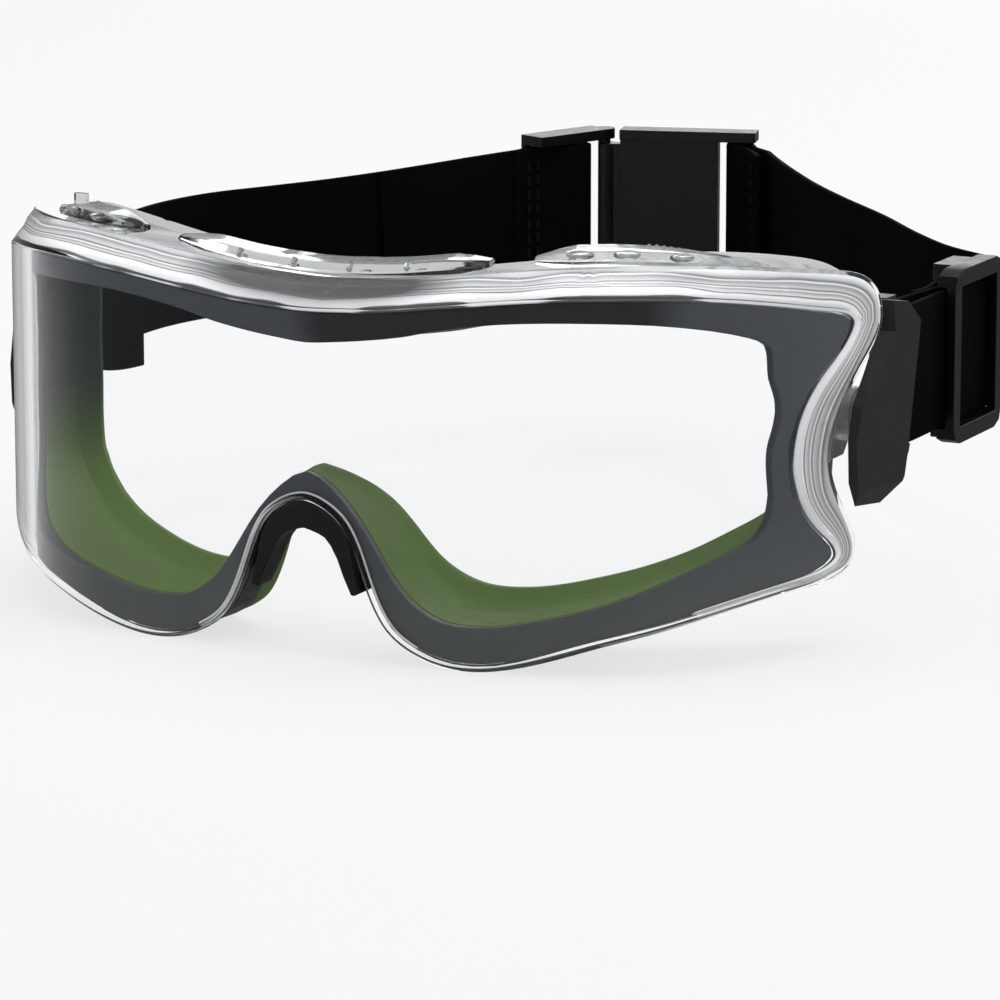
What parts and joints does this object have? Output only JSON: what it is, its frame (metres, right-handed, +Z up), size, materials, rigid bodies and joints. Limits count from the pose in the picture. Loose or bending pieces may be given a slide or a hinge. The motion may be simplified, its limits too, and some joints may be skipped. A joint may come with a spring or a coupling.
{
  "type": "safety goggles",
  "caption": "Clear wraparound safety goggles with a soft green face seal, vent covers, tilting temple clips and an adjustable elastic head strap with a slider and a rear buckle.",
  "frame": {"origin": "on the wearer's face, in the middle, where the bridge of the nose meets the brow", "axes": "+X the wearer's left, +Y from the lens back to the head, +Z up"},
  "size_m": [0.1795, 0.215, 0.0739],
  "materials": {
    "clear": "clear, polished",
    "slate": "satin",
    "frost": "translucent, pale grey",
    "soft_black": "satin",
    "moss": "satin",
    "steel": "brushed",
    "washer": "satin",
    "clip": "fine grain",
    "webbing": "ribbed elastic weave",
    "slider": "satin",
    "buckle": "fine grain",
    "thread": "twisted thread"
  },
  "bodies": {
    "eyepiece": {"lens": "clear", "front_carrier": "slate", "body_shell": "frost", "nose_bridge": "soft_black", "face_seal": "moss", "vent_cover_center": "clear", "vent_cover_left": "clear", "vent_cover_right": "clear", "side_bracket_left": "frost", "side_bracket_right": "frost", "pivot_pin_left": "steel", "pivot_pin_right": "steel", "pivot_washer_left": "washer", "pivot_washer_right": "washer"},
    "harness": {"strap_clip_left": "clip", "strap_clip_right": "clip", "strap_left": "webbing", "strap_left_tail": "webbing", "strap_right": "webbing", "strap_right_end": "webbing", "buckle_plate": "buckle", "stitching_plate": "thread", "stitching_clip_right": "thread"},
    "slider": {"strap_slider": "slider", "stitching_slider": "thread"},
    "ring": {"buckle_ring": "buckle", "stitching_ring": "thread"}
  },
  "joints": [
    {"name": "harness_tilt", "type": "hinge", "parent": "eyepiece", "child": "harness", "pos_m": [0, 0.0255, 0.008], "axis": [1, 0, 0], "range_deg": [-12, 8]},
    {"name": "slider_travel", "type": "slide", "parent": "harness", "child": "slider", "axis": [0, 1, 0], "range_m": [-0.01, 0.006], "deforming": ["strap_left_tail"]},
    {"name": "buckle_swing", "type": "hinge", "parent": "harness", "child": "ring", "pos_m": [-0.0365, 0.1736, 0.0173], "axis": [0, 0, 1], "range_deg": [-25, 15], "deforming": ["strap_right_end"]}
  ]
}
